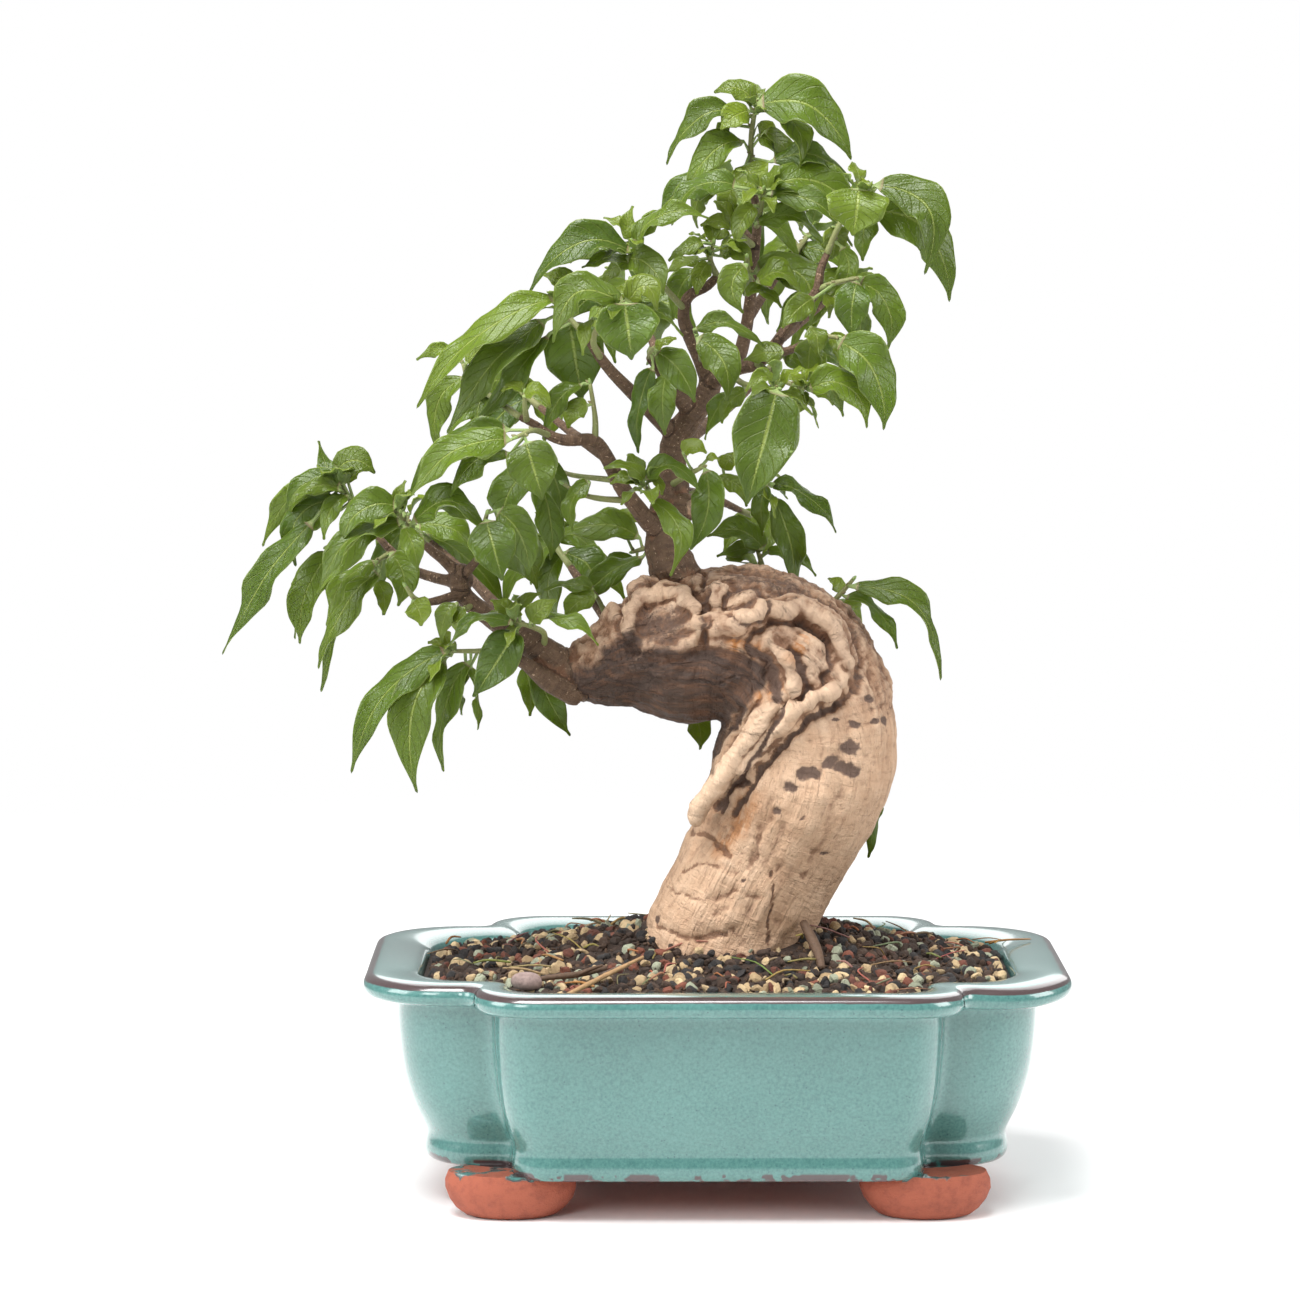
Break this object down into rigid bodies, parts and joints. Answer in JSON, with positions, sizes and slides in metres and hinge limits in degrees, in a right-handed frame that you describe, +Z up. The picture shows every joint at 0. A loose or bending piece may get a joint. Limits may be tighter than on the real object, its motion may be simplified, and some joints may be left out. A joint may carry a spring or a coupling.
{
  "type": "bougainvillea bonsai tree",
  "caption": "Curved-trunk bonsai tree with leafy shoots, standing in soil in a glazed lobed pot on four feet.",
  "frame": {"origin": "middle of the whole tree's footprint, on the surface that the pot's feet stand on", "axes": "+Z up, +X to the right and +Y to the back as seen from the front of the tree"},
  "size_m": [0.2538, 0.154, 0.3333],
  "materials": {
    "glaze": "glossy turquoise glaze with dark edge lines",
    "soil": "dark peat with lava and pumice grains",
    "bark": "wrinkled tan bark, charred on the bough",
    "foliage": "green leaves with pale margins and veins",
    "gauze": "black woven drainage gauze"
  },
  "bodies": {
    "root": {"pot": "glaze", "drainage_mesh_left": "gauze", "drainage_mesh_right": "gauze", "soil": "soil", "trunk": "bark", "apex_shoot": "foliage", "upper_front_shoot": "foliage", "upper_inner_shoot": "foliage", "right_top_shoot": "foliage", "centre_high_shoot": "foliage", "upper_left_shoot": "foliage", "left_peak_shoot": "foliage", "left_front_shoot": "foliage", "left_shoulder_shoot": "foliage", "left_far_shoot": "foliage", "left_twig_shoot": "foliage", "bare_twig_shoot": "foliage", "left_middle_shoot": "foliage", "left_inner_shoot": "foliage", "left_low_twig_shoot": "foliage", "bough_front_shoot": "foliage", "right_upper_shoot": "foliage", "right_middle_shoot": "foliage", "right_lower_shoot": "foliage", "front_right_shoot": "foliage", "front_centre_shoot": "foliage", "front_left_shoot": "foliage", "low_centre_shoot": "foliage", "low_left_shoot": "foliage", "leader_left_shoot": "foliage", "bough_top_shoot": "foliage", "right_low_shoot": "foliage", "right_foot_shoot": "foliage", "trunk_right_shoot": "foliage", "trunk_back_shoot": "foliage", "bough_under_shoot": "foliage", "bough_tip_shoot": "foliage", "far_left_shoot": "foliage", "low_outer_shoot": "foliage", "low_hanging_shoot": "foliage", "stub_shoot": "foliage", "bough_bud_shoot": "foliage", "bough_green_shoot": "foliage", "bough_back_shoot": "foliage", "low_left_bough_shoot": "foliage", "back_shoot_1": "foliage", "back_shoot_2": "foliage", "back_shoot_3": "foliage", "back_shoot_4": "foliage", "back_shoot_5": "foliage", "back_shoot_6": "foliage", "back_shoot_7": "foliage", "back_shoot_8": "foliage", "back_shoot_9": "foliage"}
  },
  "joints": []
}
